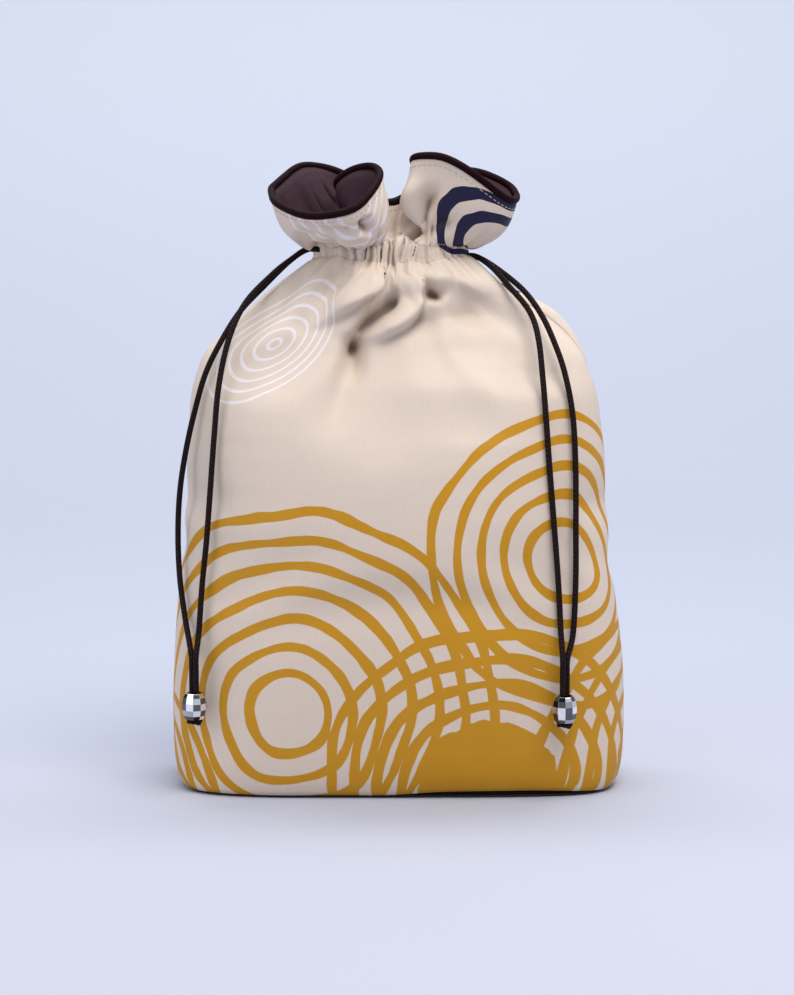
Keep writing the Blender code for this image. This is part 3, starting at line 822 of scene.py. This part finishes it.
def grid_piece(name, grid, columns, map_shift=(0, 0), flip=False, skip=()):
    """A sheet over some of the cloth's columns, its pattern map in centimetres of flat cloth."""
    rows = grid.shape[0]
    verts = grid[:, columns].reshape(-1, 3) / 1000
    width = len(columns)
    cells = [(j, i) for j in range(rows - 1) for i in range(width - 1) if (j, i) not in skip]
    faces = [(j * width + i, j * width + i + 1, (j + 1) * width + i + 1, (j + 1) * width + i)
             for j, i in cells]
    piece = mesh_piece(name, verts, faces)
    uv = piece.data.uv_layers.new(name="pattern")
    across = (np.arange(width) / (width - 1) - 0.5) * panel_width / 10
    flat = np.stack(np.broadcast_arrays(across[None, :] * (-1 if flip else 1) + map_shift[0],
                                        (row_run[:rows] / 10)[:, None] + map_shift[1]), 2).reshape(-1, 2)
    loops = np.empty(len(piece.data.loops), np.int32)
    piece.data.loops.foreach_get("vertex_index", loops)
    uv.data.foreach_set("uv", flat[loops].ravel())
    # Painted shade of the folds, carried to the sateen's colour
    shade_depth = piece.data.attributes.new("shade", "FLOAT", "POINT")
    shade_depth.data.foreach_set("value", shade[:rows, columns].ravel().astype(np.float32))
    return piece


def thicken(piece, thickness):
    solid = piece.modifiers.new("thickness", "SOLIDIFY")
    solid.thickness = thickness
    solid.offset = -1
    solid.use_even_offset = False


front_columns = np.arange(panel_columns + 1)
back_columns = np.arange(panel_columns, 2 * panel_columns + 1) % column_count
exit_rows = [j for j in range(row_count) if -2.5 < from_neck[j] < 3.5]
exit_cells = {(j, i) for j in exit_rows for i in (*range(6), *range(panel_columns - 6, panel_columns))}
for word, columns, shift, flip in (("front", front_columns, (0, 0), False),
                                   ("back", back_columns, (2, 3), True)):
    panel = grid_piece(f"outer_{word}", cloth, columns, shift, flip, exit_cells)
    panel.data.materials.append(sateen.material)
    thicken(panel, 0.0009)
    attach(panel, body)
    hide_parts(f"outer_{word}_panel")


# ---- Lining ----------------------------------------------------------------------------------
# Plain plum-brown cotton, sewn to the outer cloth at the rim and at the base. It gathers on its
# own, so in the ruffle its folds don't follow the outer cloth's.

lining_finish = Finish("plum_lining", Roughness=0.75, Specular_IOR_Level=0.15)
lining_map = lining_finish.node("ShaderNodeUVMap", {"uv_map": "pattern"})
lining_up = lining_finish.noise(lining_map, 1.0, 3.0, 0.6, (30, 2, 1))
lining_across = lining_finish.noise(lining_map, 1.0, 3.0, 0.6, (2, 30, 1))
lining_finish.feed(
    Base_Color=lining_finish.mix(lining_up * 0.6 + lining_across * 0.4, (0.022, 0.010, 0.014), (0.062, 0.031, 0.042)),
    Normal=lining_finish.bump(lining_up * 0.5 + lining_across * 0.5, 0.0002, 0.4),
)

lining_inset = np.interp(from_neck, (-90, -50, -12, 24, 60), (2.6, 3.5, 3.5, 2.6, 1.7))[:, None]
rim_share = np.clip((row_run[-1] - row_run) / 6, 0, 1)[:, None]
lining_folds = (hill(from_neck, 20, 14, 14)[:, None] * 3.0 * np.maximum(pleats(7, 61, 0.3), -0.3)
                + hill(from_neck, 14, 12, 10)[:, None] * 1.2 * np.maximum(pleats(13, 71, 0.3), -0.3))
lining_inset = lining_inset + 0.6 + (lining_folds + 0.7) * rim_share
# It never reaches more than part of the way to the cloth on the other side of a fold
quads = [(j * column_count + i, j * column_count + (i + 1) % column_count,
          (j + 1) * column_count + (i + 1) % column_count, (j + 1) * column_count + i)
         for j in range(row_count - 1) for i in range(column_count)]
inside = BVHTree.FromPolygons([Vector(p) for p in cloth.reshape(-1, 3)], quads)
room = np.full((row_count, column_count), 30.0)
for j in range(row_count):
    for i in range(column_count):
        away_in = Vector(-cloth_normals[j, i])
        hit = inside.ray_cast(Vector(cloth[j, i]) + away_in * 0.05, away_in, 12)
        if hit[3] is not None:
            room[j, i] = hit[3]
tight = np.interp(np.abs(from_neck), (12, 30, 45), (0.1, 0.2, 0.33))[:, None]
lining_inset = np.minimum(lining_inset, tight * room)
lining_inset = np.minimum.reduce([np.roll(lining_inset, k, 1) for k in range(-2, 3)])
lining_inset = np.minimum.reduce([lining_inset, np.roll(lining_inset, 1, 0), np.roll(lining_inset, -1, 0)])
lining_inset = np.array([wrap_blur(row, 1.0) for row in lining_inset])
lining = cloth - cloth_normals * lining_inset[..., None]
lining[-1] = cloth[-1] - outward_normals(cloth)[-1] * 1.3
lining[-2] = (lining[-1] + lining[-3]) / 2
for word, columns in (("front", front_columns), ("back", back_columns)):
    sheet = grid_piece(f"lining_{word}", lining, columns)
    sheet.data.materials.append(lining_finish.material)
    thicken(sheet, 0.0005)
    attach(sheet, body)
    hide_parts(f"lining_{word}_panel")


# ---- Piping ----------------------------------------------------------------------------------
# A bias strip of brown-black satin folded over a filler cord and caught in the rim's seam, so a
# 3.6 mm round roll stands on the cloth's edge with a narrow tape below it on both sides.

piping_finish = Finish("satin_piping", Roughness=0.45, Specular_IOR_Level=0.04)
piping_map = piping_finish.node("ShaderNodeUVMap", {"uv_map": "pattern"})
piping_twill = piping_finish.noise(piping_map, 1.0, 3.0, 0.6, (2.0, 26, 1))
piping_pull = piping_finish.noise(piping_map, 1.0, 2.0, 0.5, (2.2, 1.5, 1))
piping_finish.feed(
    Base_Color=piping_finish.mix(piping_twill, (0.004, 0.001, 0.0014), (0.017, 0.0038, 0.0056)),
    Roughness=0.36 + piping_pull * 0.2,
    Normal=piping_finish.bump(piping_pull * 0.8 + piping_twill * 0.2, 0.0006, 0.5),
)
rim_edge = cloth[-1] - outward_normals(cloth)[-1] * 0.75
rim_upward = wrap_blur(cloth[-1] - cloth[-4], 3)
rim_upward /= np.linalg.norm(rim_upward, axis=1)[:, None]
piping_line = wrap_blur(rim_edge + rim_upward * 1.5, 1.5)
piping_line = resample(np.vstack([piping_line, piping_line[:1]]), 561)[:-1] / 1000
piping = tube_piece("rim_piping_roll", piping_line, 0.0018, 16, closed=True)
piping.data.materials.append(piping_finish.material)
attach(piping, body)
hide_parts("rim_piping")


# ---- Stitching -------------------------------------------------------------------------------
# Wheat polyester thread: one row under the piping, and two rows round the neck that make the
# casing. Each stitch is a short bead of thread pulled into the cloth at both ends.

thread_finish = Finish("sewing_thread", Roughness=0.5)
thread_place = thread_finish.node("ShaderNodeTexCoord", output=3)
thread_finish.feed(
    Base_Color=thread_finish.mix(thread_finish.noise(thread_place, 900.0), (0.42, 0.33, 0.25), (0.60, 0.50, 0.40)),
)


def cloth_point(row, at):
    """The outer cloth's place and normal at a fractional row and column."""
    j, i = int(row), int(at)
    s, t = row - j, at - i
    corners = [(j, i), (j, i + 1), (j + 1, i), (j + 1, i + 1)]
    weights = [(1 - s) * (1 - t), (1 - s) * t, s * (1 - t), s * t]
    place = sum(w * cloth[min(a, row_count - 1), b % column_count] for w, (a, b) in zip(weights, corners))
    normal = sum(w * cloth_normals[min(a, row_count - 1), b % column_count] for w, (a, b) in zip(weights, corners))
    return place, normal / np.linalg.norm(normal)


def stitch_row(name, row, pitch, length, radius):
    """Stitches along one row, pitch and length in millimetres of flat cloth."""
    verts, faces = [], []
    sides, rings = 6, 5
    count = int(2 * panel_width / pitch)
    for k in range(count):
        middle = (k + 0.5) * pitch / panel_width * panel_columns
        half = length / 2 / panel_width * panel_columns
        base = len(verts)
        marks = [cloth_point(row, middle + half * s) for s in np.linspace(-1, 1, rings)]
        ahead = marks[-1][0] - marks[0][0]
        ahead /= np.linalg.norm(ahead) + 1e-9
        for m, (place, normal) in enumerate(marks):
            share = abs(m / (rings - 1) * 2 - 1)
            thick = radius * (1 - 0.55 * share**3)
            centre = place + normal * radius * (0.55 - 1.1 * share**3)
            other = np.cross(ahead, normal)
            for a in range(sides):
                turn = 2 * math.pi * a / sides
                verts.append((centre + thick * (math.cos(turn) * normal + math.sin(turn) * other)) / 1000)
        for m in range(rings - 1):
            for a in range(sides):
                b = (a + 1) % sides
                faces.append((base + m * sides + a, base + m * sides + b,
                              base + (m + 1) * sides + b, base + (m + 1) * sides + a))
        faces.append(tuple(base + a for a in reversed(range(sides))))
        faces.append(tuple(base + (rings - 1) * sides + a for a in range(sides)))
    piece = mesh_piece(name, verts, faces)
    piece.data.materials.append(thread_finish.material)
    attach(piece, body)
    return piece


row_at = lambda distance: float(np.interp(distance, from_neck, np.arange(row_count)))
stitch_row("rim_stitches", row_at(from_neck[-1] - 2.8), 3.0, 2.1, 0.2)
stitch_row("casing_stitches_low", row_at(-6.5), 2.8, 2.0, 0.22)
stitch_row("casing_stitches_high", row_at(7.0), 2.8, 2.0, 0.22)


# ---- Base ------------------------------------------------------------------------------------
# A flat oval of dark cotton over a stiffener, sewn to the lower edge of the panels, and the
# lining's own oval lying on it.

base_finish = Finish("dark_base_cloth", Roughness=0.8)
base_place = base_finish.node("ShaderNodeTexCoord", output=3)
base_thread = base_finish.noise(base_place, 1.0, 3.0, 0.6, (300, 2600, 300))
base_finish.feed(
    Base_Color=base_finish.mix(base_thread, (0.012, 0.006, 0.007), (0.032, 0.019, 0.02)),
    Normal=base_finish.bump(base_thread, 0.0002, 0.5),
)


def oval_plate(name, half_width, half_depth, low, thick, node):
    """A thin plate with a rolled edge."""
    ring = body_ring(0, 0, half_width, half_depth, 4.4)[::4]
    profile = [(-1.0, 0), (-0.25, 0.03), (0, 0.5), (-0.25, 0.97), (-1.0, 1)]
    verts, faces = [], []
    level = ring * (1, 1, 0)
    inward = -level / np.linalg.norm(level, axis=1)[:, None]
    for step, height in profile:
        for place, way in zip(level, inward):
            spot = place - way * step * 1.2
            verts.append((spot[0] / 1000, spot[1] / 1000, (low + thick * height) / 1000))
    count = len(ring)
    for k in range(len(profile) - 1):
        for i in range(count):
            m = (i + 1) % count
            faces.append((k * count + i, k * count + m, (k + 1) * count + m, (k + 1) * count + i))
    faces += [tuple(reversed(range(count))), tuple(range((len(profile) - 1) * count, len(profile) * count))]
    piece = mesh_piece(name, verts, faces)
    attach(piece, body)
    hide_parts(node)
    return piece


base = oval_plate("base_cloth", 102.6, 39.2, 0.0, 1.3, "outer_base_panel")
base.data.materials.append(base_finish.material)
lining_base = oval_plate("lining_base_cloth", 99.5, 37.5, 1.5, 0.6, "lining_base_panel")
lining_base.data.materials.append(base_finish.material)


# ---- Beads and knots -------------------------------------------------------------------------
# Each pair of cord ends goes down through a bright silvered bead cut in flat facets, and is tied
# under it in a tight knot with two short trimmed ends.

silver = Finish("bead_silver", Metallic=1.0, Roughness=0.08)
silver_place = silver.node("ShaderNodeTexCoord", output=3)
# Painted reflections: each facet's silver is darkened or brightened at random, standing in for a darker room mirrored
# in the bead
painted_reflection_tone = silver.node("ShaderNodeAttribute", {"attribute_name": "facet"}, output=2)
silver.feed(
    Base_Color=silver.mix(painted_reflection_tone, (0.02, 0.02, 0.022), (0.93, 0.93, 0.94)),
    Roughness=0.06 + silver.noise(silver_place, 500.0, 3.0) * 0.08,
)
painted_reflection_random = np.random.default_rng(8)
bead_rows = ((3.35, 0.35), (3.75, 0), (4.35, 0.25), (5.35, 2.1), (5.95, 4.9), (5.95, 8.0), (5.35, 10.8),
             (4.35, 12.65), (3.75, 12.9), (3.35, 12.55))
bead_facets = 10
bead_pieces = {}
for side, facts in beads.items():
    verts, faces = [], []
    for r, z in bead_rows:
        for k in range(bead_facets):
            turn = 2 * math.pi * (k + 0.5) / bead_facets
            verts.append((facts["place"][0] + r / 1000 * math.cos(turn),
                          facts["place"][1] + r / 1000 * math.sin(turn), bead_bottom + z / 1000))
    rows = len(bead_rows)
    for j in range(rows):
        for k in range(bead_facets):
            m, n = (k + 1) % bead_facets, (j + 1) % rows
            faces.append((j * bead_facets + k, j * bead_facets + m, n * bead_facets + m, n * bead_facets + k))
    bead = mesh_piece(f"faceted_bead_{side}", verts, faces, smooth=False)
    # A painted reflection tone for each facet, drawn at random
    painted_reflection_attribute = bead.data.attributes.new("facet", "FLOAT", "FACE")
    painted_reflection_attribute.data.foreach_set("value", painted_reflection_random.choice((0.0, 0.12, 0.5, 0.9, 1.0), len(faces)).astype(np.float32))
    bevel = bead.modifiers.new("worn_edges", "BEVEL")
    bevel.width, bevel.segments, bevel.limit_method, bevel.angle_limit = 0.00018, 2, "ANGLE", 0.2
    bead.data.materials.append(silver.material)
    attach(bead, f"bead_{side}")
    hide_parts(f"bead_{side}")

    centre = np.array([*facts["place"], bead_bottom - 0.0009])
    knot_turn = np.linspace(0, 4 * math.pi, 90)
    roll = np.stack([0.0028 * np.cos(knot_turn) + 0.0002 * np.cos(2.5 * knot_turn),
                     0.0026 * np.sin(knot_turn),
                     0.0004 * np.sin(1.5 * knot_turn)], 1)
    knot = tube_piece(f"knot_roll_{side}", centre + roll, 0.00085, 12)
    ends = []
    for sign in (-1, 1):
        stub = np.array([(1 + sign * 0.7, 0, 0.6), (1.2 + sign * 0.7, -0.3, -0.6),
                         (1.4 + sign * 0.8, -0.4, -1.5 - 0.4 * sign)]) / 1000
        ends.append(tube_piece(f"knot_end_{side}_{'ab'[sign > 0]}", centre + spline_through(stub, 6), 0.0010, 12))
    for piece in (knot, *ends):
        piece.data.materials.append(cord_finish.material)
        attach(piece, body)
        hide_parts(f"knot_{side}")
    bead_pieces[side] = (bead, knot, *ends)

for (side, face_word), (strand, line) in strand_pieces.items():
    on_it = bead_pieces[side] if face_word == "front" else ()
